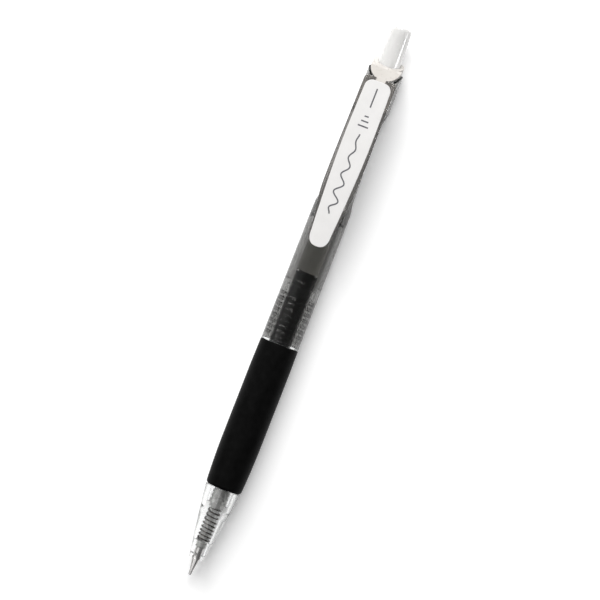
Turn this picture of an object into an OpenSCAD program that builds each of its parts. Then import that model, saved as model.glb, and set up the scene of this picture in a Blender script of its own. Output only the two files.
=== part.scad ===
// Retractable gel pen with a clear nose, a rubber grip, a smoke barrel and a pocket clip.
// It lies along X with its point out at -X, its button at +X and its clip up.
// Inside placed(), x is the distance from the point, y goes across and z is up from the axis.

/* [Whole pen] */
// Length with the point out, from the ball to the top of the button
pen_len = 148; // [147.5:0.5:150]
// Travel of the refill from latched out to drawn in
retract_travel = 5.3; // [4.8:0.1:5.3]
// Extra push past the latch that lets the rotor turn
over_travel = 1.1; // [0.8:0.1:1.1]

/* [Nose and grip] */
// Diameter of the nose's front end
nose_d = 3.8; // [3.6:0.1:4]
// Diameter where the nose meets the grip
nose_rear_d = 9.2; // [9:0.1:9.3]
// Largest diameter of the rubber grip
grip_d = 10.2; // [10:0.1:10.6]
// Diameter of the grip's rear end
grip_rear_d = 10; // [9.9:0.1:10]
// Length of the rubber grip
grip_len = 38.95; // [38.8:0.05:39]

/* [Barrel] */
// Barrel diameter next to the grip
barrel_d = 9.94; // [9.8:0.02:10]
// Barrel diameter just in front of its waist
barrel_rear_d = 9.76; // [9.7:0.02:9.8]
// Diameter of the slim neck under the clip
neck_d = 7.8; // [7.8:0.1:8.2]
// Diameter of the head that holds the push mechanism
head_d = 9.16; // [9.1:0.02:9.3]
// Pitch of the screw thread between the front section and the barrel
thread_pitch = 1.5; // [1.4:0.1:1.5]

/* [Clip] */
// Width of the white plate at its widest
plate_w = 7.24; // [7.1:0.02:7.3]
// Width of the white plate at the head
plate_top_w = 6.78; // [6.7:0.02:6.9]
// Width of the smoke clip arm at its widest
arm_w = 8.8; // [8.7:0.02:8.9]
// Height of the clip's top face over the pen's axis
clip_top = 7.1; // [7.1:0.1:7.3]

/* [Refill] */
// Outside diameter of the refill tube
tube_d = 5.8; // [5.6:0.1:5.8]
// Inside diameter of the refill tube
tube_bore_d = 4.6; // [4.4:0.1:4.6]
// Diameter of the writing ball
ball_d = 0.7; // [0.7:0.01:0.72]
// Outside diameter of the return spring
spring_d = 3.6; // [3.55:0.05:3.7]
// Diameter of the spring wire
wire_d = 0.36; // [0.34:0.01:0.38]

/* [Button] */
// Diameter of the push button where it leaves the collar
button_d = 5.9; // [5.8:0.02:5.9]
// Diameter of the push button near its top
button_top_d = 5.2; // [5:0.1:5.4]

/* [Hidden] */
$fn = 96;

axis_h = grip_d / 2;
fit_gap = 0.05;
loose_gap = 0.02;

// Places along the pen, measured from the point
nose_front = 4.5;
nose_hole_end = 5.6;
spring_seat = 9.2;
cavity_step = 15.6;
tube_front = 19.6;
refill_room_front = tube_front - over_travel - 0.5;
grip_front = 23.35;
grip_rear = grip_front + grip_len;
barrel_front = grip_rear + 0.75;
thread_front = barrel_front + 1.2;
thread_count = 8;
sleeve_rear = 77.75;
bore_step = 95.4;
waist_front = 97.9;
shoulder_rear = 99.9;
taper_rear = 106;
bore_neck_front = 110;
neck_front = 115;
head_front = 123.2;
head_round_end = 126.3;
guide_front = 124.35;
stop_face = 126;
guide_rear = 132.6;
head_rear = 136.3;
rim_reach = 136.95;
collar_rear = 140;

// Radii of the bores and of the sleeve under the grip
refill_bore_r = 3.1;
front_bore_r = 1.56;
taper_bore_r = 3.72;
mechanism_bore_r = 3.35;
sleeve_r = 4;
thread_root_r = 3.95;
thread_crest_r = 4.2;
barrel_bore_r = 4.25;
upper_bore_r = 4.1;
guide_r = 3.9;
collar_r = 4.05;

// Clip
clip_end = 88.35;
plate_end = 88.55;
plate_rear = 132.45;
root_rear = 133.3;
taper_front = 92;
widest_at = 115;
plate_low_w = 5.24;
plate_t = 0.6;
arm_t = 1.2;
arm_bottom = clip_top - arm_t;
hinge_at = 125.6;
hinge_h = clip_top - arm_t / 2;
knuckle_r = arm_t / 2 - 0.02;
root_half_w = arm_w / 2 - 0.18;
root_bottom = 5.3;
foot_rear = 132.3;
neck_of_tongue = 1.25;

// Refill
tube_rear = 112;
stem_r = 1.35;
step_r = 1.93;
step_front = 18.4;
channel_r = 0.5;
wide_channel_r = 1.12;
wide_channel_front = 18.8;
plug_rear = 25;
ink_rear = 81.6;
follower_rear = 90;
point_rear = 12;

// Mechanism
rib_r = 3.3;
rib_w = 1.2;
rib_count = 4;
channel_w = 1.6;
stop_r = 2.6;
rotor_front = tube_rear + fit_gap;
rotor_rib_front = 121.9;
rotor_rear = stop_face - 0.1;
tooth_h = 0.5;
tooth_count = 8;
button_front = rotor_rear + 2 * tooth_h + 0.2;
button_rib_rear = 130;
button_step = guide_rear + over_travel + 0.3;
lip_front = button_rib_rear + retract_travel + 0.15;
hollow_rear = pen_len - 4;

module placed() {
    translate([-pen_len / 2, 0, axis_h])
        children();
}

// Turns an outline of [radius, distance] points about the pen's axis
module turned(outline) {
    rotate([0, 90, 0])
        rotate_extrude()
            polygon(outline);
}

// A plain ring between two places on the axis
module ring(outer_r, inner_r, from, to) {
    turned([[inner_r, from], [outer_r, from], [outer_r, to], [inner_r, to]]);
}

// A solid round bar between two places on the axis
module bar(r, from, to) {
    translate([from, 0, 0])
        rotate([0, 90, 0])
            cylinder(r = r, h = to - from);
}

// Points of an arc, for outlines
function arc(centre, r, from, to, steps = 8) = [
    for (i = [0:steps])
        let (a = from + (to - from) * i / steps)
            [centre[0] + r * cos(a), centre[1] + r * sin(a)]
];

// A gentle bulge between two outline points
function bulge(a, b, h, steps = 10) = [
    for (i = [0:steps])
        let (t = i / steps)
            [a[0] + (b[0] - a[0]) * t + h * sin(180 * t), a[1] + (b[1] - a[1]) * t]
];

// ---------- front section and grip ----------

module front_section() {
    cone = bulge([nose_d / 2 + 0.06, nose_front + 0.9], [nose_rear_d / 2, grip_front - fit_gap], 0.1);
    color([0.93, 0.95, 0.96, 0.35]) placed() {
        turned(concat(
            [
                [1.22, nose_front],
                [nose_d / 2 - 0.15, nose_front],
                [nose_d / 2, nose_front + 0.15]
            ],
            cone,
            [
                [sleeve_r, grip_front - fit_gap],
                [sleeve_r, grip_rear + fit_gap],
                [barrel_d / 2 - 0.1, grip_rear + fit_gap],
                [barrel_d / 2, grip_rear + 0.15],
                [barrel_d / 2, barrel_front - 0.15],
                [barrel_d / 2 - 0.1, barrel_front - fit_gap],
                [thread_root_r, barrel_front - fit_gap],
                [thread_root_r, sleeve_rear - 0.3],
                [thread_root_r - 0.3, sleeve_rear],
                [refill_bore_r, sleeve_rear],
                [refill_bore_r, refill_room_front],
                [spring_d / 2 + 0.35, cavity_step],
                [spring_d / 2 + 0.18, 12.5],
                [spring_d / 2 + 0.12, spring_seat],
                [front_bore_r, spring_seat],
                [front_bore_r, nose_hole_end + 0.4],
                [1.22, nose_hole_end]
            ]
        ));
        for (i = [0:thread_count - 1])
            thread_ridge(thread_front + i * thread_pitch, thread_root_r - loose_gap, thread_crest_r, 0.35);
    }
}

// One turn of thread, drawn as a ridge round the axis
module thread_ridge(at, base_r, top_r, half_w) {
    turned([
        [base_r, at - half_w],
        [top_r, at - half_w * 0.55],
        [top_r, at + half_w * 0.55],
        [base_r, at + half_w]
    ]);
}

module grip() {
    lip = 0.95;
    lip_r = 4.72;
    color([0.07, 0.07, 0.07]) placed() {
        turned(concat(
            [[sleeve_r + loose_gap, grip_front + 0.03]],
            arc([lip_r - lip, grip_front + lip], lip, -73, 0),
            bulge([lip_r, grip_front + lip], [grip_d / 2, 35], 0.06),
            [
                [grip_d / 2, 56],
                [grip_rear_d / 2, grip_rear - 0.2],
                [grip_rear_d / 2 - 0.15, grip_rear],
                [sleeve_r + loose_gap, grip_rear]
            ]
        ));
    }
}

// ---------- barrel ----------

module barrel() {
    color([0.3, 0.3, 0.3, 0.6]) placed() difference() {
        union() {
            difference() {
                barrel_shell();
                slanted_end();
            }
            clip_root();
        }
        barrel_bore();
        groove_for_clip();
        plate_seat();
    }
}

module barrel_shell() {
    turned(concat(
        [
            [0.5, barrel_front],
            [barrel_d / 2 - 0.12, barrel_front],
            [barrel_d / 2, barrel_front + 0.12],
            [barrel_rear_d / 2, waist_front],
            [barrel_rear_d / 2 - 0.08, shoulder_rear]
        ],
        bulge([barrel_rear_d / 2 - 0.28, shoulder_rear + 0.9], [neck_d / 2 + 0.52, 102], -0.03, 4),
        [
            [neck_d / 2, neck_front],
            [neck_d / 2, head_front],
            [head_d / 2 - 0.3, head_front + 0.8],
            [head_d / 2, head_round_end],
            [head_d / 2, head_rear - 0.25],
            [head_d / 2 - 0.2, head_rear],
            [0.5, head_rear]
        ]
    ));
}

// The head's end is cut at 45 degrees under the clip, down to where it is square
module slanted_end() {
    translate([rim_reach, 0, 0])
        rotate([0, -45, 0])
            translate([0, -10, -10])
                cube([10, 20, 20]);
}

// The clip's root on the head: a slab as wide as the arm on a narrower foot
module clip_root() {
    intersection() {
        translate([0, 0, root_bottom])
            linear_extrude(clip_top - root_bottom)
                polygon(arm_outline());
        translate([hinge_at, -8, 0])
            cube([20, 16, 12]);
    }
    translate([hinge_at, -plate_top_w / 2, 1])
        cube([foot_rear - hinge_at, plate_top_w, root_bottom - 0.9]);
}

module barrel_bore() {
    difference() {
        turned([
            [0, barrel_front - 1],
            [barrel_bore_r, barrel_front - 1],
            [barrel_bore_r, sleeve_rear + 0.6],
            [upper_bore_r, sleeve_rear + 1],
            [upper_bore_r, bore_step],
            [taper_bore_r, bore_step + 0.8],
            [taper_bore_r, taper_rear],
            [mechanism_bore_r, bore_neck_front],
            [mechanism_bore_r, guide_front - fit_gap],
            [guide_r + loose_gap, guide_front - fit_gap],
            [guide_r + loose_gap, guide_rear + fit_gap],
            [collar_r + loose_gap, guide_rear + fit_gap],
            [collar_r + loose_gap, head_rear + 1],
            [0, head_rear + 1]
        ]);
        // the barrel's own thread, left standing between the ridges of the front section
        for (i = [0:thread_count - 2])
            thread_ridge(
                thread_front + (i + 0.5) * thread_pitch,
                barrel_bore_r + 0.1,
                thread_root_r + 0.08,
                0.28
            );
    }
}

module groove_for_clip() {
    translate([hinge_at, 0, hinge_h])
        rotate([90, 0, 0])
            cylinder(r = knuckle_r + 2 * fit_gap, h = 20, center = true);
    translate([hinge_at - 2, -6, clip_top - arm_t - 0.2])
        cube([2, 12, 6]);
}

// Pocket in the head for the plate, deep enough for its rear end to dip as the clip lifts,
// and the notch behind it that the collar's tongue fills
module plate_seat() {
    dip = 0.55;
    translate([0, 0, clip_top - plate_t - dip])
        linear_extrude(4)
            polygon(plate_outline(fit_gap * 2));
    translate([plate_rear, -neck_of_tongue - 0.1, head_d / 2])
        cube([3, 2 * neck_of_tongue + 0.2, 6]);
}

// ---------- clip ----------

// Half outline of a rounded free end
function round_end(front, to, half, bow = 0.8) = [
    for (i = [0:16])
        let (a = 90 * i / 16)
            [to - (to - front) * pow(cos(a), bow), half * pow(sin(a), bow)]
];

// Rounded corner at the rear of a half outline
function rear_corner(rear, half, r) = [
    for (i = [0:6])
        let (a = 90 * i / 6)
            [rear - r + r * sin(a), half - r + r * cos(a)]
];

// Closed outline from a half that starts on the centre line
function both_sides(side) = concat(
    side,
    [for (i = [len(side) - 1:-1:1]) [side[i][0], -side[i][1]]]
);

// Outline of the white plate, or of a pocket that much larger
function plate_outline(by) = let (
    low = plate_low_w / 2 + by,
    wide = plate_w / 2 + by,
    flank = [[(taper_front + widest_at) / 2, low + (wide - low) * 0.64], [widest_at, wide]]
) both_sides(concat(
    round_end(plate_end - by, taper_front, low),
    flank,
    rear_corner(plate_rear + by, plate_top_w / 2 + by, 2)
));

// Outline of the smoke arm and of its root
function arm_outline() = let (half = arm_w / 2) both_sides(concat(
    round_end(clip_end, 93, half - 1.35),
    [[97, half - 0.9], [100, half - 0.42], [103, half - 0.06], [108, half], [widest_at, half - 0.03]],
    rear_corner(root_rear, root_half_w, 1.2)
));

module clip_arm() {
    color([0.3, 0.3, 0.3, 0.6]) placed() {
        difference() {
            union() {
                intersection() {
                    translate([0, 0, arm_bottom])
                        linear_extrude(arm_t)
                            polygon(arm_outline());
                    translate([0, -8, 0])
                        cube([hinge_at, 16, 12]);
                }
                translate([hinge_at, 0, hinge_h])
                    rotate([90, 0, 0])
                        cylinder(r = knuckle_r, h = 2 * root_half_w, center = true);
            }
            translate([0, 0, clip_top - plate_t])
                linear_extrude(4)
                    polygon(plate_outline(loose_gap));
        }
        clip_foot();
    }
}

// Rounded foot under the free end, which presses on the cloth
module clip_foot() {
    foot_at = 92;
    foot_r = 1.2;
    foot_low = barrel_d / 2 + 0.02;
    intersection() {
        translate([foot_at, 0, foot_low + foot_r])
            rotate([90, 0, 0])
                cylinder(r = foot_r, h = 3.4, center = true);
        translate([foot_at - 3, -3, 0])
            cube([6, 6, arm_bottom + 0.3]);
    }
}

module clip_plate() {
    color([0.93, 0.92, 0.91]) placed()
        translate([0, 0, clip_top - plate_t + loose_gap])
            linear_extrude(plate_t + 0.05)
                polygon(plate_outline(0));
}

// ---------- collar, button and mechanism ----------

module top_collar() {
    shoulder = 1.4;
    color([0.95, 0.94, 0.93]) placed() difference() {
        union() {
            turned(concat(
                [[3.4, guide_rear + 2 * fit_gap], [collar_r, guide_rear + 2 * fit_gap]],
                arc([collar_r - shoulder, collar_rear - shoulder], shoulder, 0, 60),
                [
                    [button_d / 2 + 0.07, collar_rear],
                    [button_d / 2 + 0.07, lip_front],
                    [3.4, lip_front]
                ]
            ));
            tongue();
        }
        sloped_top();
    }
}

// The wedge that shows in the head's slanted end and runs down from the plate
module tongue() {
    slope_run = 4;
    slope_drop = 2.36;
    front = plate_rear + 0.07;
    steps = 12;
    wedge = [
        for (i = [0:steps])
            let (s = root_rear - 0.2 + (head_rear + 0.9 - root_rear) * i / steps)
                [s, sqrt(pow(collar_r, 2) - pow(rim_reach - s, 2)) - 2 * fit_gap]
    ];
    difference() {
        union() {
            translate([0, 0, 1])
                linear_extrude(clip_top - 1)
                    polygon(concat(wedge, [for (i = [steps:-1:0]) [wedge[i][0], -wedge[i][1]]]));
            translate([front, -neck_of_tongue, head_d / 2 + 0.07])
                cube([2, 2 * neck_of_tongue, 3]);
        }
        bar(collar_r - 0.1, guide_rear - 5, collar_rear);
        translate([front, 0, clip_top - 0.05])
            rotate([0, atan2(slope_drop, slope_run), 0])
                translate([-1, -6, 0])
                    cube([8, 12, 6]);
    }
}

// The collar's rim leans, low at the clip and high at the back
module sloped_top() {
    rim_mid = 138.3;
    lean = 23.5;
    translate([rim_mid, 0, 0])
        rotate([0, 90 - lean, 0])
            translate([-10, -10, 0])
                cube([20, 20, 10]);
}

module push_button() {
    corner = 1;
    top_r = button_top_d / 2;
    color([0.95, 0.95, 0.95, 0.8]) placed() difference() {
        union() {
            turned(concat(
                [
                    [1.9, button_front],
                    [stop_r - 0.15, button_front],
                    [stop_r - 0.15, button_step],
                    [button_d / 2, button_step + 0.4],
                    [button_d / 2, 137]
                ],
                arc([top_r - corner, pen_len - corner], corner, 0, 90),
                [[0, pen_len], [0, hollow_rear], [1.2, hollow_rear], [1.9, hollow_rear - 4]]
            ));
            intersection() {
                ribs(button_front + tooth_h, button_rib_rear);
                ring(rib_r, 2.2, button_front, button_rib_rear);
            }
        }
        crown_cuts(button_front, 0);
    }
}

// Crossed ribs that run in the guide's channels
module ribs(from, to) {
    for (i = [0:rib_count / 2 - 1])
        rotate([i * 360 / rib_count, 0, 0])
            translate([from, -rib_w / 2, -5])
                cube([to - from, rib_w, 10]);
}

// V cuts across an end face, which leave a crown of teeth
module crown_cuts(at, turn) {
    for (i = [0:tooth_count / 2 - 1])
        rotate([turn + i * 360 / tooth_count, 0, 0])
            translate([at, 0, 0])
                rotate([0, 0, 45])
                    cube([tooth_h * 1.4, tooth_h * 1.4, 10], center = true);
}

module rotor() {
    color([0.85, 0.86, 0.87]) placed() difference() {
        union() {
            turned([
                [0, rotor_front],
                [2.6, rotor_front],
                [2.6, rotor_front + 1.2],
                [1.7, rotor_front + 2.2],
                [1.7, rotor_rib_front - 0.6],
                [2.3, rotor_rib_front],
                [2.3, rotor_rear + tooth_h + 0.1],
                [1.1, rotor_rear + tooth_h + 0.1],
                [1.1, rotor_rib_front],
                [0, rotor_rib_front]
            ]);
            intersection() {
                ribs(rotor_rib_front, rotor_rear);
                turned([
                    [1.9, rotor_rib_front],
                    [2.6, rotor_rib_front],
                    [rib_r, rotor_rib_front + 0.7],
                    [rib_r, rotor_rear],
                    [1.9, rotor_rear]
                ]);
            }
        }
        crown_cuts(rotor_rear + tooth_h + 0.1, 22.5);
    }
}

module cam_guide() {
    color([0.8, 0.81, 0.82]) placed() difference() {
        ring(guide_r, stop_r, guide_front, guide_rear);
        bar(mechanism_bore_r, guide_front - 1, stop_face);
        intersection() {
            bar(mechanism_bore_r, stop_face - 0.5, guide_rear + 1);
            for (i = [0:rib_count / 2 - 1])
                rotate([i * 360 / rib_count, 0, 0])
                    translate([stop_face - 0.5, -channel_w / 2, -5])
                        cube([guide_rear - stop_face + 2, channel_w, 10]);
        }
    }
}

// ---------- refill ----------

module spring() {
    turns_dead = 1;
    turns_live = 8;
    turns = turns_live + 2 * turns_dead;
    wire_r = wire_d / 2;
    coil_r = spring_d / 2 - wire_r;
    first = spring_seat + 0.02 + wire_r;
    last = step_front - 0.02 - wire_r;
    live_pitch = (last - first - 2 * turns_dead * wire_d * 1.02) / turns_live;
    steps = 20;
    sides = 8;
    rings = round(turns * steps);
    function run(t) = t < turns_dead ? first + t * wire_d * 1.02
        : t > turns - turns_dead ? last - (turns - t) * wire_d * 1.02
        : first + turns_dead * wire_d * 1.02 + (t - turns_dead) * live_pitch;
    points = [
        for (i = [0:rings], k = [0:sides - 1])
            let (
                a = 360 * i / steps,
                b = 360 * k / sides,
                r = coil_r + wire_r * cos(b),
                x = run(i / steps) + wire_r * sin(b)
            )
            [x, r * cos(a), r * sin(a)]
    ];
    faces = concat(
        [[for (k = [0:sides - 1]) k]],
        [
            for (i = [0:rings - 1], k = [0:sides - 1])
                let (n = (k + 1) % sides, p = i * sides)
                    [p + k, p + sides + k, p + sides + n, p + n]
        ],
        [[for (k = [sides - 1:-1:0]) rings * sides + k]]
    );
    color([0.35, 0.3, 0.28]) placed()
        polyhedron(points = points, faces = faces, convexity = 8);
}

module refill_tube() {
    r = tube_d / 2;
    color([0.9, 0.92, 0.92, 0.4]) placed()
        turned([
            [tube_bore_d / 2, tube_front],
            [r - 0.15, tube_front],
            [r, tube_front + 0.15],
            [r, tube_rear - 0.15],
            [r - 0.15, tube_rear],
            [tube_bore_d / 2, tube_rear]
        ]);
}

// Vented plug in the back of the tube
module refill_plug() {
    color([0.9, 0.9, 0.9]) placed()
        ring(tube_bore_d / 2 - loose_gap, 0.5, tube_rear - 4, tube_rear);
}

module refill_ink() {
    r = tube_bore_d / 2 - loose_gap;
    color([0.03, 0.03, 0.03]) placed()
        turned([
            [0, point_rear + loose_gap],
            [channel_r - loose_gap, point_rear + loose_gap],
            [channel_r - loose_gap, wide_channel_front - 0.28],
            [wide_channel_r - loose_gap, wide_channel_front + loose_gap],
            [wide_channel_r - loose_gap, plug_rear + loose_gap],
            [r, plug_rear + loose_gap],
            [r, ink_rear],
            [0, ink_rear]
        ]);
}

module ink_follower() {
    color([0.85, 0.84, 0.78, 0.5]) placed()
        bar(tube_bore_d / 2 - loose_gap, ink_rear + loose_gap, follower_rear);
}

module tip_holder() {
    plug_r = tube_bore_d / 2 - loose_gap;
    color([0.9, 0.91, 0.92, 0.5]) placed() difference() {
        turned([
            [channel_r, 7.6],
            [1.3, 7.6],
            [front_bore_r - 0.08, 7.8],
            [front_bore_r - 0.08, 8.9],
            [stem_r, 9.03],
            [stem_r, step_front],
            [step_r, step_front],
            [step_r, tube_front - 0.2],
            [tube_d / 2 - 0.1, tube_front - 0.2],
            [tube_d / 2 - 0.1, tube_front - loose_gap],
            [plug_r, tube_front - loose_gap],
            [plug_r, plug_rear - 0.4],
            [plug_r - 0.4, plug_rear],
            [wide_channel_r, plug_rear],
            [wide_channel_r, wide_channel_front],
            [channel_r, wide_channel_front - 0.3]
        ]);
        bar(1.02, 7, point_rear);
        // rings round the plug that grip the tube
        for (i = [0:2])
            ring(plug_r + 1, plug_r - 0.3, 20.6 + i * 1.1, 21.1 + i * 1.1);
    }
}

module writing_point() {
    color([0.8, 0.8, 0.82]) placed()
        turned([
            [ball_d / 2 + 0.01, 0.24],
            [ball_d / 2 + 0.06, 0.24],
            [ball_d / 2 + 0.16, 1.5],
            [1.02, 4.1],
            [1.12, 4.5],
            [1.12, 7.56],
            [1, 7.56],
            [1, point_rear],
            [0.6, point_rear],
            [0.6, 2.6],
            [0.25, 1.6],
            [0.25, 0.95],
            [ball_d / 2 + 0.02, 0.6],
            [ball_d / 2 + 0.02, 0.32]
        ]);
}

module writing_ball() {
    color([0.5, 0.5, 0.52]) placed()
        translate([ball_d / 2, 0, 0])
            sphere(d = ball_d);
}

front_section();
grip();
barrel();
cam_guide();
top_collar();
clip_arm();
clip_plate();
push_button();
rotor();
spring();
refill_tube();
refill_plug();
refill_ink();
ink_follower();
tip_holder();
writing_point();
writing_ball();
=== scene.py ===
"""Looks of a retractable gel pen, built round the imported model.

Shapes are given in millimetres: s runs along the pen from the writing ball,
y goes across and h is the height over the pen's axis.
"""
import math

import bmesh
import bpy
from mathutils import Matrix, Vector


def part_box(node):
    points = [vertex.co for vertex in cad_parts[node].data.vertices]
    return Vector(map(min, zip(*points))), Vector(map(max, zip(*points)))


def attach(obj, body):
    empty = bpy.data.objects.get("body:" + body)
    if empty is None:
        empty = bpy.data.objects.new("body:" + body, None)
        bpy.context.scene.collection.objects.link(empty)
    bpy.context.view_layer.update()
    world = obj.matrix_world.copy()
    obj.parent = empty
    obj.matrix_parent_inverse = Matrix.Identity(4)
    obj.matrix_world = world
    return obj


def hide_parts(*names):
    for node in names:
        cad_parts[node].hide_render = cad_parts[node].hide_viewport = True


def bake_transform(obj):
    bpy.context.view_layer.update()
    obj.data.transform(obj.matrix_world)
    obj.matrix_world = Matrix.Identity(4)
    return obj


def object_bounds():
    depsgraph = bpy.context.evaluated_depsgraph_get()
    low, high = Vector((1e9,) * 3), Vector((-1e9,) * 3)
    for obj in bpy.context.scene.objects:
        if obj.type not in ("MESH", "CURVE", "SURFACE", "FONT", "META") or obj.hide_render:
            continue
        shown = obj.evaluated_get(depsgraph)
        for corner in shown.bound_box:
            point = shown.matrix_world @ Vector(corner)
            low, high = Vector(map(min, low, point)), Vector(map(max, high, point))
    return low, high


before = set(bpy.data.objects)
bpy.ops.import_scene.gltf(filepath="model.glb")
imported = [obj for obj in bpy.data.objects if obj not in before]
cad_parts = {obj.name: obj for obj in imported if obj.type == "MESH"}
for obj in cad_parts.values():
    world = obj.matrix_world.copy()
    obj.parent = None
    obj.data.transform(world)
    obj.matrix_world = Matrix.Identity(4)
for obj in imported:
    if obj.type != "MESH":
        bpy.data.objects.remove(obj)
cad_low, cad_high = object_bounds()

MM = 0.001
TIP_X = cad_low[0]
TUBE_LOW, TUBE_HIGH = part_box("refill_tube")
AXIS_Z = (TUBE_LOW[2] + TUBE_HIGH[2]) / 2

# Places along the pen, heights over its axis and widths
HINGE_AT = 125.6
BEND_TO = 118.0
CLIP_TOP = 7.1
ARM_T = 1.2
PLATE_T = 0.6
ROOT_LOW = 5.3
ROOT_HALF = 4.22
ROOT_REAR = 133.3
PLATE_FRONT = 88.55
ARM_FRONT = 88.35
PLATE_REAR = 132.45
PLATE_TOP = 7.14
PRINT_LOW = 7.12
PRINT_TOP = 7.165
PRINT_WIDTH = 0.36
HEAD_REAR = 136.3
RIM_REACH = 136.95
THREAD_START = 63.6
THREAD_END = 75.7
THREAD_PITCH = 1.5
THREAD_RUNOUT = 0.9

# Sides of the turned solids
FINE = 128
COARSE = 96

# Part of the noise's range that colours and values run over
NOISE_LOW = 0.3
NOISE_HIGH = 0.7


def place(s, y, h):
    """A point of the pen in the shared frame."""
    return Vector((TIP_X + s * MM, y * MM, AXIS_Z + h * MM))


# ---------- mesh helpers ----------


def rounded(corners):
    """Closed outline whose corners (a, b, radius) become arcs; (a, b) stays sharp."""
    steps = 5
    points = []
    count = len(corners)
    for i, corner in enumerate(corners):
        here = Vector(corner[:2])
        radius = corner[2] if len(corner) > 2 else 0
        if not radius:
            points.append(tuple(here))
            continue
        back = Vector(corners[i - 1][:2]) - here
        ahead = Vector(corners[(i + 1) % count][:2]) - here
        half = back.angle(ahead) / 2
        reach = min(radius / math.tan(half), back.length * 0.48, ahead.length * 0.48)
        radius = reach * math.tan(half)
        middle = (back.normalized() + ahead.normalized()).normalized()
        centre = here + middle * (radius / math.sin(half))
        first = here + back.normalized() * reach - centre
        turn = first.angle_signed(here + ahead.normalized() * reach - centre)
        for k in range(steps + 1):
            arm = Matrix.Rotation(-turn * k / steps, 2) @ first
            points.append(tuple(centre + arm))
    return points


def bulge(a, b, height, steps=14):
    """Points from a to b, (s, r) each, that swell outward by height in the middle."""
    return [
        (
            a[0] + (b[0] - a[0]) * k / steps,
            a[1] + (b[1] - a[1]) * k / steps + height * math.sin(math.pi * k / steps),
        )
        for k in range(steps + 1)
    ]


def dense(a, b, step):
    """Points from a to b, (s, r) each, about one step apart."""
    count = max(1, round(abs(b[0] - a[0]) / step))
    return [
        (a[0] + (b[0] - a[0]) * k / count, a[1] + (b[1] - a[1]) * k / count)
        for k in range(count + 1)
    ]


def mirrored(side):
    """Closed outline from its half, given with y above zero."""
    return side + [(s, -y) for s, y in reversed(side) if y > 1e-6]


def eased(side, rounds=2):
    """Rounds an open run of points by cutting its corners."""
    for _ in range(rounds):
        run = [side[0]]
        for a, b in zip(side, side[1:]):
            run.append((a[0] * 0.75 + b[0] * 0.25, a[1] * 0.75 + b[1] * 0.25))
            run.append((a[0] * 0.25 + b[0] * 0.75, a[1] * 0.25 + b[1] * 0.75))
        side = run + [side[-1]]
    return side


def round_end(front, to, half):
    """Half outline of a rounded free end."""
    run = []
    for k in range(33):
        a = math.radians(90 * k / 32)
        c, n = max(0.0, math.cos(a)) ** 0.8, math.sin(a) ** 0.8
        run.append((to - (to - front) * c, half * n))
    return run


def rear_corner(rear, half, r):
    """Rounded corner at the rear of a half outline."""
    run = []
    for k in range(13):
        a = math.radians(90 * k / 12)
        run.append((rear - r + r * math.sin(a), half - r + r * math.cos(a)))
    return run


def link(name, bm):
    """Puts a finished bmesh in the scene as an object."""
    mesh = bpy.data.meshes.new(name)
    bmesh.ops.recalc_face_normals(bm, faces=bm.faces)
    bm.to_mesh(mesh)
    bm.free()
    obj = bpy.data.objects.new(name, mesh)
    bpy.context.scene.collection.objects.link(obj)
    return obj


def turned(name, corners, sides=FINE, shape=None):
    """Solid that a closed outline of (s, r, rounding) sweeps round the pen's axis."""
    bm = bmesh.new()
    rings = []
    for s, r in rounded(corners):
        if r < 1e-6:
            rings.append([bm.verts.new(place(s, 0, 0))])
            continue
        ring = []
        for k in range(sides):
            a = 2 * math.pi * k / sides
            q = shape(s, r, a) if shape else r
            ring.append(bm.verts.new(place(s, q * math.sin(a), q * math.cos(a))))
        rings.append(ring)
    for i, ring in enumerate(rings):
        other = rings[(i + 1) % len(rings)]
        for k in range(sides):
            n = (k + 1) % sides
            quad = [ring[k % len(ring)], ring[n % len(ring)]]
            quad += [other[n % len(other)], other[k % len(other)]]
            unique = list(dict.fromkeys(quad))
            if len(unique) > 2:
                bm.faces.new(unique)
    return link(name, bm)


def slice_across(bm, cuts):
    """Adds a ring of edges at each s in cuts."""
    for s in cuts:
        bmesh.ops.bisect_plane(
            bm,
            geom=bm.verts[:] + bm.edges[:] + bm.faces[:],
            plane_co=place(s, 0, 0),
            plane_no=(1, 0, 0),
        )


def slab(name, outline, low, high, edge=0.0, cuts=()):
    """Plate with an outline of (s, y), rounded along its edges and cut across at some s."""
    bm = bmesh.new()
    base = [bm.verts.new(place(s, y, low)) for s, y in outline]
    top = [bm.verts.new(place(s, y, high)) for s, y in outline]
    bm.faces.new(base)
    bm.faces.new(top)
    rims = []
    for k in range(len(base)):
        n = (k + 1) % len(base)
        bm.faces.new([base[k], base[n], top[n], top[k]])
        rims.append(bm.edges.get([top[k], top[n]]))
        rims.append(bm.edges.get([base[k], base[n]]))
    bmesh.ops.recalc_face_normals(bm, faces=bm.faces)
    if edge:
        bmesh.ops.bevel(
            bm,
            geom=rims,
            offset=edge * MM,
            segments=3,
            profile=0.5,
            affect="EDGES",
            clamp_overlap=True,
        )
    slice_across(bm, cuts)
    return link(name, bm)


def block(name, low, high, from_s, to_s, half):
    """Plain box between two places along the pen."""
    return slab(name, mirrored([(from_s, half), (to_s, half)]), low, high)


def tilted(obj, s, h, degrees):
    """Turns a helper solid about the cross axis and puts it at a place."""
    obj.matrix_world = (
        Matrix.Translation(place(s, 0, h))
        @ Matrix.Rotation(math.radians(degrees), 4, "Y")
        @ Matrix.Translation(-place(0, 0, 0))
    )
    return obj


def slice_object(obj, cuts):
    """Cuts a finished solid across, so that it can bend."""
    bm = bmesh.new()
    bm.from_mesh(obj.data)
    slice_across(bm, cuts)
    bm.to_mesh(obj.data)
    bm.free()


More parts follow.
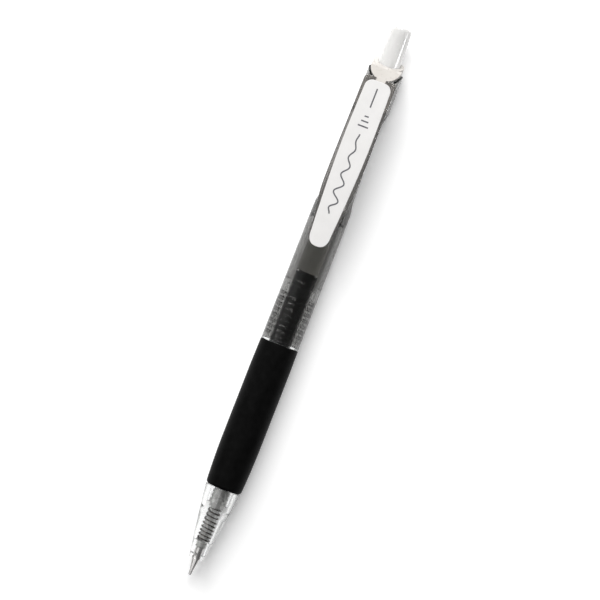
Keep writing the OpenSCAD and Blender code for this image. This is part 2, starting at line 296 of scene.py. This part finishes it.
def keep_part(obj, s, rear):
    """Cuts a solid across at s and keeps its rear or its front part, closed again."""
    bm = bmesh.new()
    bm.from_mesh(obj.data)
    cut = bmesh.ops.bisect_plane(
        bm,
        geom=bm.verts[:] + bm.edges[:] + bm.faces[:],
        plane_co=place(s, 0, 0),
        plane_no=(1, 0, 0),
        clear_inner=rear,
        clear_outer=not rear,
    )
    edges = [g for g in cut["geom_cut"] if isinstance(g, bmesh.types.BMEdge)]
    bmesh.ops.edgeloop_fill(bm, edges=edges)
    bmesh.ops.recalc_face_normals(bm, faces=bm.faces)
    bm.to_mesh(obj.data)
    bm.free()


def settle(obj):
    """Puts the result of the object's modifiers in its mesh."""
    bpy.context.view_layer.update()
    graph = bpy.context.evaluated_depsgraph_get()
    mesh = bpy.data.meshes.new_from_object(obj.evaluated_get(graph))
    obj.modifiers.clear()
    obj.data = mesh


def combine(obj, other, how="DIFFERENCE"):
    """Boolean of two solids; the second one is used up."""
    change = obj.modifiers.new("combine", "BOOLEAN")
    change.operation = how
    change.solver = "EXACT"
    change.object = other
    settle(obj)
    bpy.data.objects.remove(other)


def soften(obj, width):
    """Small rounds along the sharp edges."""
    change = obj.modifiers.new("soften", "BEVEL")
    change.width = width * MM
    change.segments = 3
    change.limit_method = "ANGLE"
    change.angle_limit = math.radians(35)
    change.use_clamp_overlap = True
    settle(obj)


def smooth(obj):
    """Smooth shading that keeps flat faces flat and sharp edges sharp."""
    obj.data.shade_smooth()
    obj.data.set_sharp_from_angle(angle=math.radians(38))
    change = obj.modifiers.new("normals", "WEIGHTED_NORMAL")
    change.keep_sharp = True
    change.weight = 60
    settle(obj)


# ---------- materials ----------


class Look:
    """A procedural material built on one Principled shader."""

    def __init__(self, name, colour, rough, **values):
        self.material = bpy.data.materials.new(name)
        self.material.use_nodes = True
        self.tree = self.material.node_tree
        self.shader = self.tree.nodes["Principled BSDF"]
        self.output = self.tree.nodes["Material Output"]
        self.shader.inputs["Base Color"].default_value = (*colour, 1)
        self.shader.inputs["Roughness"].default_value = rough
        for key, value in values.items():
            self.shader.inputs[key.replace("_", " ")].default_value = value
        self.normal = None

    def add(self, kind, **values):
        """New node with some of its inputs set."""
        node = self.tree.nodes.new(kind)
        for key, value in values.items():
            node.inputs[key.replace("_", " ")].default_value = value
        return node

    def join(self, a, out, b, into):
        """Links an output of one node to an input of another."""
        self.tree.links.new(a.outputs[out], b.inputs[into])

    def noise(self, scale, stretch=(1, 1, 1), detail=3.0):
        """Noise in the pen's own coordinates, scale in features per millimetre."""
        where = self.add("ShaderNodeTexCoord")
        mapping = self.add("ShaderNodeMapping", Scale=[scale / MM * k for k in stretch])
        self.join(where, "Object", mapping, "Vector")
        noise = self.add("ShaderNodeTexNoise", Scale=1.0, Detail=detail, Roughness=0.5)
        self.join(mapping, "Vector", noise, "Vector")
        return noise

    def vary(self, into, scale, low, high, stretch=(1, 1, 1)):
        """Drives a value from noise, between low and high."""
        noise = self.noise(scale, stretch)
        spread = self.add("ShaderNodeMapRange", To_Min=low, To_Max=high)
        spread.inputs["From Min"].default_value = NOISE_LOW
        spread.inputs["From Max"].default_value = NOISE_HIGH
        self.join(noise, "Fac", spread, "Value")
        self.join(spread, "Result", self.shader, into)
        return self

    def tint(self, scale, first, second):
        """Drifts the base colour between two colours."""
        noise = self.noise(scale)
        ramp = self.add("ShaderNodeValToRGB")
        ends = ((NOISE_LOW, first), (NOISE_HIGH, second))
        for element, (at, colour) in zip(ramp.color_ramp.elements, ends):
            element.position = at
            element.color = (*colour, 1)
        self.join(noise, "Fac", ramp, "Fac")
        self.join(ramp, "Color", self.shader, "Base Color")
        return self

    def bump(self, scale, depth, stretch=(1, 1, 1)):
        """Surface relief of some depth in millimetres; calls add up."""
        noise = self.noise(scale, stretch, 2.0)
        bump = self.add("ShaderNodeBump", Strength=1.0, Distance=depth * MM)
        self.join(noise, "Fac", bump, "Height")
        if self.normal:
            self.join(self.normal, "Normal", bump, "Normal")
        self.normal = bump
        self.join(bump, "Normal", self.shader, "Normal")
        return self

    def absorb(self, colour, per_mm):
        """Clear plastic that darkens with depth."""
        volume = self.add("ShaderNodeVolumeAbsorption", Density=per_mm / MM)
        volume.inputs["Color"].default_value = (*colour, 1)
        self.join(volume, "Volume", self.output, "Volume")
        return self


def clear(name, rough, ior=1.49, colour=(1, 1, 1), **values):
    """Look of a plastic that lets nearly all light through."""
    return Look(name, colour, rough, Transmission_Weight=1.0, IOR=ior, **values)


SMOKE_TINT = (0.145, 0.14, 0.125)
LOOKS = {
    "clear_plastic": clear("clear_plastic", 0.01, Specular_IOR_Level=0.25)
    .absorb((0.55, 0.57, 0.56), 0.1)
    .vary("Roughness", 0.8, 0.0, 0.035)
    .bump(0.35, 0.004),
    "smoke_plastic": clear("smoke_plastic", 0.02, 1.5, Specular_IOR_Level=0.25)
    .absorb(SMOKE_TINT, 1.1)
    .vary("Roughness", 0.6, 0.005, 0.05)
    .bump(0.3, 0.004, (0.5, 1, 1)),
    "grip_rubber": Look("grip_rubber", (0.003, 0.003, 0.003), 0.5, Specular_IOR_Level=0.03)
    .tint(0.5, (0.0025, 0.0025, 0.0025), (0.0045, 0.0045, 0.0045))
    .vary("Roughness", 1.6, 0.36, 0.5)
    .bump(9, 0.004)
    .bump(0.8, 0.006),
    "guide_plastic": Look("guide_plastic", (0.62, 0.63, 0.64), 0.4)
    .tint(0.6, (0.58, 0.59, 0.6), (0.66, 0.67, 0.68))
    .bump(2.5, 0.003),
    "white_plastic": Look("white_plastic", (0.5, 0.475, 0.445), 0.36, Coat_Weight=0.06)
    .tint(0.35, (0.485, 0.46, 0.43), (0.52, 0.495, 0.465))
    .vary("Roughness", 1.2, 0.24, 0.38)
    .bump(1.4, 0.003),
    "plate_plastic": Look("plate_plastic", (0.74, 0.735, 0.725), 0.34)
    .tint(0.25, (0.725, 0.715, 0.705), (0.76, 0.75, 0.74))
    .vary("Roughness", 1.5, 0.3, 0.42)
    .bump(3.5, 0.0025),
    "milky_plastic": Look(
        "milky_plastic",
        (0.4, 0.395, 0.385),
        0.2,
        IOR=1.49,
        Subsurface_Weight=1.0,
        Subsurface_Radius=(1, 1, 1),
        Subsurface_Scale=0.005,
        Emission_Strength=0.25,  # painted glow: the button gives off light of its own, standing for the light that passes through it
    )
    .vary("Roughness", 0.9, 0.14, 0.3)
    .bump(1.1, 0.004),
    "spring_steel": Look("spring_steel", (0.04, 0.034, 0.03), 0.4, Metallic=1.0)
    .tint(1.5, (0.03, 0.025, 0.022), (0.055, 0.046, 0.04))
    .bump(6, 0.002),
    "tube_plastic": clear("tube_plastic", 0.03, Specular_IOR_Level=0.3)
    .vary("Roughness", 0.7, 0.01, 0.06, (0.1, 1, 1))
    .bump(0.5, 0.003, (0.1, 1, 1)),
    "black_ink": Look("black_ink", (0.008, 0.008, 0.0085), 0.3, Specular_IOR_Level=0.2)
    .tint(0.4, (0.007, 0.007, 0.0075), (0.011, 0.011, 0.0115))
    .bump(0.6, 0.004),
    "follower_grease": clear("follower_grease", 0.12, 1.47, (0.96, 0.95, 0.9))
    .absorb((0.8, 0.78, 0.68), 0.05)
    .bump(0.7, 0.012),
    "holder_plastic": Look(
        "holder_plastic", (0.85, 0.85, 0.83), 0.15, Transmission_Weight=0.6, IOR=1.5
    )
    .vary("Roughness", 0.9, 0.06, 0.16)
    .bump(0.9, 0.006),
    "point_steel": Look("point_steel", (0.62, 0.61, 0.6), 0.2, Metallic=1.0)
    .vary("Roughness", 1.2, 0.14, 0.3, (6, 0.2, 0.2))
    .bump(7, 0.0012, (4, 0.05, 0.05)),
    "ball_metal": Look("ball_metal", (0.42, 0.42, 0.44), 0.1, Metallic=1.0)
    .bump(9, 0.0006),
}
PRINT_LOOK = (
    Look("plate_print", (0.1, 0.1, 0.11), 0.45)
    .tint(2.0, (0.085, 0.085, 0.095), (0.13, 0.13, 0.14))
    .bump(8, 0.001)
)


def smoke_variant(name, grey, per_mm):
    """The smoke plastic of the clip, darker at its surface and slightly scattering."""
    look = Look(name, grey, 0.05, Transmission_Weight=0.72, IOR=1.3)
    look.absorb(SMOKE_TINT, per_mm)
    look.vary("Roughness", 0.6, 0.03, 0.08)
    return look.bump(0.3, 0.004, (0.5, 1, 1))


ARM_LOOK = smoke_variant("smoke_arm", (0.3, 0.29, 0.28), 0.12)
ROOT_LOOK = smoke_variant("smoke_root", (0.4, 0.38, 0.36), 0.05)


def dress(obj, slot_name, look=None):
    """Gives a piece its slot, and the slot's look unless another one is named."""
    obj.data.materials.clear()
    obj.data.materials.append((look or LOOKS[slot_name]).material)


def fit(obj, body, slot_name, node=None, look=None):
    """Final shading, material and place in the moving model."""
    smooth(obj)
    dress(obj, slot_name, look)
    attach(obj, body)
    if node:
        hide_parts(node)


# ---------- front section and grip ----------


def ridge(s, angle, phase):
    """Height of the screw thread, 0 to 1, at a place on the cylinder."""
    turn = (s - THREAD_START) / THREAD_PITCH - angle / (2 * math.pi) + phase
    away = abs((turn % 1.0) - 0.5) * 2
    crest = min(1.0, max(0.0, (away - 0.3) / 0.6))
    crest = crest * crest * (3 - 2 * crest)
    ends = min(s - THREAD_START, THREAD_END - s) / THREAD_RUNOUT
    return crest * min(1.0, max(0.0, ends))


def outer_thread(s, r, angle):
    """Radius of the front section with the thread raised on its tail."""
    if r < 3.9 or not THREAD_START < s < THREAD_END:
        return r
    return r + 0.2 * ridge(s, angle, 0.0)


def inner_thread(s, r, angle):
    """Radius of the barrel with the thread raised in its bore."""
    if r > 4.3 or not THREAD_START < s < THREAD_END:
        return r
    return r - 0.18 * ridge(s, angle, 0.5)


nose = turned(
    "front_moulding",
    [(4.5, 1.22, 0.05), (4.5, 1.9, 0.16)]
    + bulge((5.4, 1.96), (23.2, 4.59), 0.1, 24)
    + [(23.3, 4.59, 0.05), (23.3, 4.0, 0.05), (40, 4.0), (62.35, 4.0)]
    + [(62.35, 4.97, 0.13), (63.0, 4.97, 0.13), (63.0, 3.95)]
    + dense((63.2, 3.95), (76.2, 3.95), 0.1)
    + [(77, 3.95), (77.75, 3.95, 0.32), (77.75, 3.1, 0.12), (60, 3.1), (40, 3.1)]
    + [(18.25, 3.1)]
    + bulge((18.0, 3.02), (15.7, 2.22), -0.05, 6)
    + bulge((15.5, 2.13), (12.5, 1.99), -0.02, 4)
    + [(9.3, 1.93), (9.2, 1.86), (9.2, 1.6)]
    + [(9.14, 1.56), (6.05, 1.56), (5.95, 1.53), (5.62, 1.26), (5.52, 1.22)],
    shape=outer_thread,
)
fit(nose, "root", "clear_plastic", "front_section")

grip = turned(
    "grip_sleeve",
    [
        (
            24.3 - 0.95 * math.cos(math.radians(a)),
            3.77 + 0.95 * math.sin(math.radians(a)),
        )
        for a in range(16, 91, 8)
    ]
    + bulge((24.5, 4.73), (35, 5.1), 0.06, 20)
    + [(42, 5.1), (49, 5.1), (56, 5.1), (61.7, 5.01)]
    + [(62.3, 5.0, 0.2), (62.3, 4.02, 0.04), (50, 4.02), (35, 4.02)],
)
fit(grip, "root", "grip_rubber", "grip")

# ---------- barrel ----------


def plate_half(by=0.0):
    """Half outline of the white plate, or of a pocket that much larger."""
    low, wide, top = 2.62 + by, 3.62 + by, 3.39 + by
    tip = round_end(PLATE_FRONT - by, 92.0, low)
    crown = rear_corner(PLATE_REAR + by, top, 2.0)
    flank = [tip[-1], (97.0, low + (wide - low) * 0.31), (103.5, low + (wide - low) * 0.64)]
    flank += [(109.5, low + (wide - low) * 0.88), (115, wide), (122, wide - 0.03), crown[0]]
    return tip + eased(flank)[1:-1] + crown


def arm_half():
    """Half outline of the smoke arm and of its root."""
    tip = round_end(ARM_FRONT, 93.0, 3.05)
    crown = rear_corner(ROOT_REAR, ROOT_HALF, 1.2)
    flank = [tip[-1], (97, 3.5), (100, 3.98), (103, 4.34), (108, 4.4), (115, 4.37)]
    flank += [(122, 4.28), crown[0]]
    return tip + eased(flank)[1:-1] + crown


barrel = turned(
    "barrel_moulding",
    [(63.05, 4.25), (63.05, 4.97, 0.14)]
    + [(75, 4.937), (86, 4.911), (97.9, 4.88)]
    + bulge((98.3, 4.875), (99.9, 4.81), 0.015, 4)
    + bulge((100.1, 4.78), (101.9, 4.43), -0.04, 6)
    + [(102.2, 4.41), (104, 4.34), (107, 4.22), (110, 4.1), (113, 3.98)]
    + [(115, 3.92), (116.5, 3.9), (122.9, 3.9)]
    + bulge((123.15, 3.91), (126.1, 4.56), 0.09, 12)
    + [(126.6, 4.58), (131, 4.58)]
    + [(136.3, 4.58, 0.22), (136.3, 4.07, 0.08)]
    + [(132.65, 4.07), (132.65, 3.92), (124.3, 3.92), (124.3, 3.35)]
    + [(122, 3.35), (110.3, 3.35), (109.7, 3.37), (106.2, 3.71), (105.6, 3.72)]
    + [(96.25, 3.72)]
    + bulge((96.1, 3.74), (95.5, 4.04), 0.03, 5)
    + [(95.35, 4.1), (88, 4.1), (79.2, 4.1)]
    + bulge((79.05, 4.12), (78.75, 4.23), 0.0, 3)
    + [(78.6, 4.25), (77.5, 4.25)]
    + dense((76.2, 4.25), (63.3, 4.25), 0.1),
    shape=inner_thread,
)

combine(barrel, tilted(block("slant", -10, 10, 0, 10, 10), RIM_REACH, 0, -45))
root = slab("clip_root", mirrored(arm_half()), ROOT_LOW, CLIP_TOP, 0.25)
keep_part(root, HINGE_AT + 0.01, True)
combine(root, turned("core", [(120, 0), (120, 4.6), (140, 4.6), (140, 0)]))
base = mirrored([(HINGE_AT + 0.3, 3.39), (132.3, 3.39)])
root_foot = slab("root_foot", base, 1.0, ROOT_LOW + 0.1, 0.15)
combine(root_foot, turned("core", [(120, 0), (120, 4.5), (140, 4.5), (140, 0)]))
combine(root, root_foot, "UNION")
seat = slab("seat", mirrored(plate_half()), CLIP_TOP - PLATE_T, 12)
combine(root, seat)
notch = slab("notch", mirrored([(PLATE_REAR - 0.3, 1.27), (135, 1.27)]), 4.62, 12)
combine(root, notch)
fit(barrel, "root", "smoke_plastic", "barrel")
fit(root, "root", "smoke_plastic", None, ROOT_LOOK)

# ---------- clip ----------

CUTS = [BEND_TO + 0.5 * k for k in range(17)]


def bend(obj, slot_name, node=None, look=None):
    """Smooth shading and a look for a piece of the clip, with its place baked into its
    mesh.
    """
    smooth(obj)
    dress(obj, slot_name, look)
    if node:
        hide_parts(node)
    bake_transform(obj)


arm = slab("clip_arm_moulding", mirrored(arm_half()), CLIP_TOP - ARM_T, CLIP_TOP, 0.25)
keep_part(arm, HINGE_AT, False)
pad = mirrored([(90.9, 0.9), (91.3, 1.5), (92.7, 1.5), (93.1, 0.9)])
combine(arm, slab("tip_foot", pad, 5.0, CLIP_TOP - ARM_T + 0.2, 0.3), "UNION")
pocket = slab("pocket", mirrored(plate_half()), CLIP_TOP - PLATE_T, 12)
combine(arm, pocket)
slice_object(arm, CUTS)
bend(arm, "smoke_plastic", "clip_arm", ARM_LOOK)

plate = slab(
    "plate_inlay",
    mirrored(plate_half(0.025)),
    CLIP_TOP - PLATE_T - 0.025,
    PLATE_TOP,
    0.13,
    CUTS,
)
bend(plate, "plate_plastic", "clip_plate")

# Printed decoration on the plate: a wavy pen stroke and plain bars


def stroke(bm, points):
    """Flat printed line along points (s, y), with square ends."""
    half = PRINT_WIDTH / 2
    rows = []
    for i, (s, y) in enumerate(points):
        before, after = points[max(i - 1, 0)], points[min(i + 1, len(points) - 1)]
        ds, dy = after[0] - before[0], after[1] - before[1]
        size = math.hypot(ds, dy)
        ns, ny = -dy / size * half, ds / size * half
        section = ((1, PRINT_LOW), (1, PRINT_TOP), (-1, PRINT_TOP), (-1, PRINT_LOW))
        rows.append([bm.verts.new(place(s + k * ns, y + k * ny, h)) for k, h in section])
    for one, two in zip(rows, rows[1:]):
        for k in range(4):
            n = (k + 1) % 4
            bm.faces.new([one[k], one[n], two[n], two[k]])
    bm.faces.new(rows[0])
    bm.faces.new(rows[-1])


WAVE_STEPS = 180
wave = []
for k in range(WAVE_STEPS + 1):
    along = k / WAVE_STEPS
    swing = 1.15 * (1 - along) ** 0.6 * min(1, along * 9)
    wave.append((97.3 + 21.2 * along, swing * math.sin(2 * math.pi * 4.6 * along)))
print_bm = bmesh.new()
stroke(print_bm, wave)
for at, reach in ((120.6, 1.35), (121.9, 0.95), (123.2, 0.55)):
    stroke(print_bm, [(at, reach * k / 4) for k in range(-4, 5)])
stroke(print_bm, [(125.6 + 5.0 * k / 16, 0.0) for k in range(17)])
bend(link("plate_print", print_bm), "plate_plastic", None, PRINT_LOOK)

# ---------- collar and button ----------

collar = turned(
    "collar_ring",
    [(132.7, 3.4, 0.05), (132.7, 4.05, 0.08), (136, 4.05), (138.5, 4.05)]
    + [
        (
            138.6 + 1.4 * math.sin(math.radians(a)),
            2.65 + 1.4 * math.cos(math.radians(a)),
        )
        for a in range(0, 66, 5)
    ]
    + [(140, 3.02), (135.45, 3.02), (135.45, 3.4)],
)
wedge = []
for k in range(25):
    s = ROOT_REAR - 0.2 + (HEAD_REAR + 0.9 - ROOT_REAR) * k / 24
    wedge.append((s, math.sqrt(4.05**2 - (RIM_REACH - s) ** 2) - 0.06))
tongue = slab("tongue", mirrored(wedge), 1.0, CLIP_TOP)
neck = slab("tongue_neck", mirrored([(PLATE_REAR + 0.03, 1.26), (134.5, 1.26)]), 4.65, 7.08)
combine(tongue, neck, "UNION")
combine(
    tongue,
    tilted(block("fall", 0, 6, -3, 14, 7), PLATE_REAR + 0.07, CLIP_TOP - 0.02, 30.54),
)
combine(tongue, turned("middle", [(125, 0), (125, 3.9), (145, 3.9), (145, 0)]))
combine(collar, tongue, "UNION")
rim = tilted(block("rim", -10, 10, 0, 12, 10), 138.3, 0, -23.5)
combine(collar, rim)
soften(collar, 0.12)
fit(collar, "root", "white_plastic", "top_collar")

button = turned(
    "button_cap",
    [(127.2, 1.9), (127.2, 2.4), (127.3, 2.45), (134.0, 2.45), (134.4, 2.9)]
    + bulge((134.5, 2.95), (137.0, 2.95), 0.0, 2)
    + bulge((137.2, 2.948), (146.4, 2.62), 0.03, 12)
    + [
        (
            147.0 + 1.0 * math.sin(math.radians(a)),
            1.6 + 1.0 * math.cos(math.radians(a)),
        )
        for a in range(8, 90, 8)
    ]
    + [(148, 1.6), (148, 0)]
    + [(144.0, 0), (143.95, 0.9), (143.6, 1.3), (140.2, 1.86), (139.5, 1.9)],
)
fit(button, "button", "milky_plastic", "push_button")

# ---------- refill ----------


def coil(name, first, last, radius, wire, live, dead):
    """Compression spring with closed ends, wound round the pen's axis."""
    steps, sides = 40, 12
    bm = bmesh.new()
    turns = live + 2 * dead
    close = 2 * wire * 1.02
    pitch = (last - first - 2 * dead * close) / live

    def run(t):
        """Place along the pen after t turns."""
        if t < dead:
            return first + t * close
        if t > turns - dead:
            return last - (turns - t) * close
        return first + dead * close + (t - dead) * pitch

    rings = []
    count = round(turns * steps)
    for i in range(count + 1):
        a = 2 * math.pi * i / steps
        taper = min(1.0, 0.35 + 0.65 * min(i, count - i) / 6)
        ring = []
        for k in range(sides):
            b = 2 * math.pi * k / sides
            r = radius + wire * taper * math.cos(b)
            s = run(i / steps) + wire * taper * math.sin(b)
            ring.append(bm.verts.new(place(s, r * math.sin(a), r * math.cos(a))))
        rings.append(ring)
    for one, two in zip(rings, rings[1:]):
        for k in range(sides):
            n = (k + 1) % sides
            bm.faces.new([one[k], one[n], two[n], two[k]])
    bm.faces.new(rings[0])
    bm.faces.new(rings[-1])
    return link(name, bm)


spring = coil("return_spring", 9.42, 18.18, 1.62, 0.18, 8.0, 1.0)
smooth(spring)
dress(spring, "spring_steel")
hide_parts("spring")
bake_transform(spring)

tube = turned(
    "refill_barrel",
    [(19.6, 2.3, 0.05), (19.6, 2.9, 0.14), (40, 2.9), (65, 2.9), (90, 2.9)]
    + [(112, 2.9, 0.14), (112, 2.3, 0.05), (90, 2.3), (65, 2.3), (40, 2.3)],
    COARSE,
)
fit(tube, "refill", "tube_plastic", "refill_tube")

ink = turned(
    "ink_column",
    [(12.05, 0), (12.05, 0.48), (18.5, 0.48), (18.8, 1.1), (24.95, 1.1)]
    + [(25.03, 1.2), (25.03, 2.2), (25.1, 2.31)]
    + [(40, 2.31), (60, 2.31), (81.3, 2.31), (81.56, 2.27)]
    + bulge((81.6, 2.2), (81.4, 0.4), 0.0, 6)
    + [(81.38, 0)],
    COARSE,
)
fit(ink, "refill", "black_ink", "refill_ink")

follower = turned(
    "grease_plug",
    [(81.44, 0), (81.46, 0.5), (81.66, 2.2), (81.7, 2.31)]
    + [(85, 2.31), (89.9, 2.31), (89.98, 2.2), (89.6, 1.2), (89.45, 0)],
    COARSE,
)
fit(follower, "refill", "follower_grease", "ink_follower")

groove = []
for k in range(3):
    at = 22.8 - 1.1 * k
    groove += [(at + 0.5, 2.28), (at + 0.42, 2.0), (at + 0.08, 2.0), (at, 2.28)]
holder = turned(
    "holder_moulding",
    [(7.6, 0.79), (7.6, 1.25), (7.66, 1.34), (7.8, 1.46), (7.9, 1.48)]
    + [(8.85, 1.48), (8.93, 1.45), (9.05, 1.35), (13, 1.35)]
    + [(18.4, 1.35), (18.4, 1.93, 0.1), (19.4, 1.93)]
    + [(19.4, 2.8, 0.05), (19.58, 2.8, 0.05), (19.58, 2.28)]
    + list(reversed(groove))
    + [(24.6, 2.28), (25.0, 1.9), (25.0, 1.12), (18.8, 1.12), (18.5, 0.5)]
    + [(12.04, 0.5), (12.04, 1.02), (7.62, 1.02)],
    COARSE,
)
fit(holder, "refill", "holder_plastic", "tip_holder")

point = turned(
    "metal_point",
    [(0.3, 0.37), (0.25, 0.38), (0.25, 0.4), (0.32, 0.425), (0.9, 0.46), (1.45, 0.5)]
    + [(1.55, 0.53), (1.7, 0.57)]
    + bulge((1.8, 0.59), (4.0, 1.0), 0.02, 8)
    + [(4.1, 1.03), (4.3, 1.09), (4.5, 1.12), (5.1, 1.12)]
    + [(5.2, 1.12), (5.26, 1.06), (5.4, 1.06), (5.46, 1.12), (7.5, 1.12), (7.56, 1.06)]
    + [(7.56, 1.0), (11.9, 1.0), (12.0, 0.95), (12.0, 0.62), (9, 0.6), (2.6, 0.6)]
    + [(1.6, 0.25), (0.95, 0.25), (0.6, 0.37)],
    COARSE,
)
fit(point, "refill", "point_steel", "writing_point")

# CAD pieces that stay as they are
KEPT = {
    "rotor": "guide_plastic",
    "cam_guide": "guide_plastic",
    "refill_plug": "white_plastic",
    "writing_ball": "ball_metal",
}
for node, slot_name in KEPT.items():
    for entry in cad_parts[node].material_slots:
        entry.material = LOOKS[slot_name].material

# ---------- floor, light and camera ----------

ground = bmesh.new()
bmesh.ops.create_grid(ground, x_segments=4, y_segments=4, size=3.0)
floor = link("floor", ground)
for face in floor.data.polygons:
    if face.normal.z < 0:
        floor.data.flip_normals()
        break
floor_look = Look(
    "floor_white",
    (0.88, 0.88, 0.88),
    0.9,
    Specular_IOR_Level=0.1,
    Emission_Color=(1, 1, 1, 1),
    Emission_Strength=0.3,
).tint(0.02, (0.875, 0.875, 0.875), (0.885, 0.885, 0.885))
floor.data.materials.append(floor_look.material)

# The camera looks down on the pen, which leans to the right and is rolled a little
LEAN = math.radians(21.34)
ROLL = math.radians(3.3)
DISTANCE = 0.6
SENSOR = 36

# Width of the view at the pen's height, in millimetres
FRAME_WIDTH = 151.1335

forward = Vector((0, math.sin(ROLL), -math.cos(ROLL)))
side = forward.cross(Vector((1, 0, 0)))
up = math.cos(LEAN) * Vector((1, 0, 0)) - math.sin(LEAN) * side
right = forward.cross(up)
MIDDLE = place(74, 0, 0)


def area(name, towards, away, across, along, radiance, seen, at=MIDDLE):
    """Softbox that faces a place from some direction and serves some kinds of ray."""
    lamp = bpy.data.lights.new(name, "AREA")
    lamp.shape = "RECTANGLE"
    lamp.size, lamp.size_y = along, across
    lamp.energy = radiance * math.pi * along * across
    obj = bpy.data.objects.new(name, lamp)
    bpy.context.scene.collection.objects.link(obj)
    back = Vector(towards).normalized()
    wide = back.cross(Vector((1, 0, 0))).normalized()
    long = wide.cross(back)
    turn = Matrix((long, wide, back)).transposed().to_4x4()
    obj.matrix_world = Matrix.Translation(at + back * away) @ turn
    obj.visible_camera = False
    obj.visible_diffuse = "diffuse" in seen
    obj.visible_glossy = "glossy" in seen
    obj.visible_transmission = "transmission" in seen


def from_side(degrees):
    """Direction square to the pen, turned from straight up towards +Y."""
    a = math.radians(degrees)
    return (0, math.sin(a), math.cos(a))


EVERY = ("diffuse", "glossy", "transmission")
area("key_softbox", (1.0, 0.466, 1.0), 0.9, 0.84, 0.48, 10.0, EVERY)
area("left_card", from_side(49), 0.5, 0.62, 1.3, 0.2, EVERY)
area("nose_card", from_side(28), 0.12, 0.13, 0.05, 1.1, ("transmission",), place(9, 0, 0))
area("tip_card", (-0.78, 0.25, 1.0), 0.5, 0.7, 0.3, 0.9, ("glossy",))
area("button_card", from_side(-79), 0.12, 0.02, 0.06, 32, ("glossy",), place(142, 0, 0))

# A dim white room round it all
scene = bpy.context.scene
world = bpy.data.worlds.new("studio")
scene.world = world
world.use_nodes = True
nodes, links = world.node_tree.nodes, world.node_tree.links
nodes.clear()
out = nodes.new("ShaderNodeOutputWorld")
room = nodes.new("ShaderNodeBackground")
room.inputs["Color"].default_value = (1, 1, 1, 1)
room.inputs["Strength"].default_value = 0.14
links.new(room.outputs["Background"], out.inputs["Surface"])

lens = bpy.data.cameras.new("camera")
lens.sensor_width = SENSOR
lens.lens = SENSOR * DISTANCE / (FRAME_WIDTH * MM)
camera = bpy.data.objects.new("camera", lens)
scene.collection.objects.link(camera)
aim = MIDDLE + right * 0.93 * MM + up * 0.33 * MM
camera.matrix_world = Matrix(
    (
        (right.x, up.x, -forward.x, 0),
        (right.y, up.y, -forward.y, 0),
        (right.z, up.z, -forward.z, 0),
        (0, 0, 0, 1),
    )
)
camera.location = aim - forward * DISTANCE
bpy.context.scene.camera = camera

scene.view_settings.view_transform = "Standard"
scene.cycles.max_bounces = 32
scene.cycles.transmission_bounces = 32
scene.cycles.glossy_bounces = 8
scene.cycles.diffuse_bounces = 4
scene.cycles.transparent_max_bounces = 16
